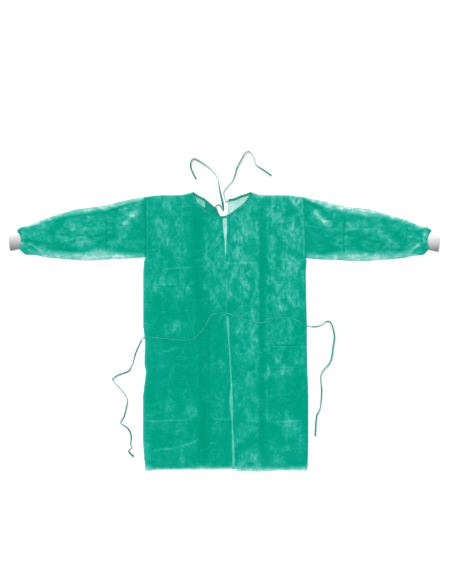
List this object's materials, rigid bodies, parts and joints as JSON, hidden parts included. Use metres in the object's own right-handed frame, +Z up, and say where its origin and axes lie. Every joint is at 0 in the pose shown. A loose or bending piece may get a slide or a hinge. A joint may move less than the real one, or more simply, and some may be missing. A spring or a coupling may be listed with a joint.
{
  "type": "visitor gown",
  "caption": "Disposable non-woven visitor gown laid flat on its back, with long sleeves, ribbed knit cuffs, a bound neck with ties and a waist belt.",
  "frame": {"origin": "on the surface that the gown lies on, under the middle of its outline", "axes": "+X to the right as seen from above, along the sleeves; +Y from the hem to the neck; +Z up from the surface, through the front panel"},
  "size_m": [1.868, 1.387, 0.0134],
  "materials": {
    "cloth": "thin spun-bonded non-woven, matt with a faint sheen, pale where it is drawn thin",
    "cuff_knit": "matt white ribbed knit",
    "tape": "folded non-woven tape, matt"
  },
  "bodies": {
    "root": {"front": "cloth", "back_left": "cloth", "back_right": "cloth", "sleeve_left": "cloth", "sleeve_right": "cloth", "cuff_left": "cuff_knit", "cuff_right": "cuff_knit", "binding_front": "tape", "binding_back_left": "tape", "binding_back_right": "tape", "neck_tie_left": "tape", "neck_tie_right": "tape", "belt": "tape"}
  },
  "joints": []
}
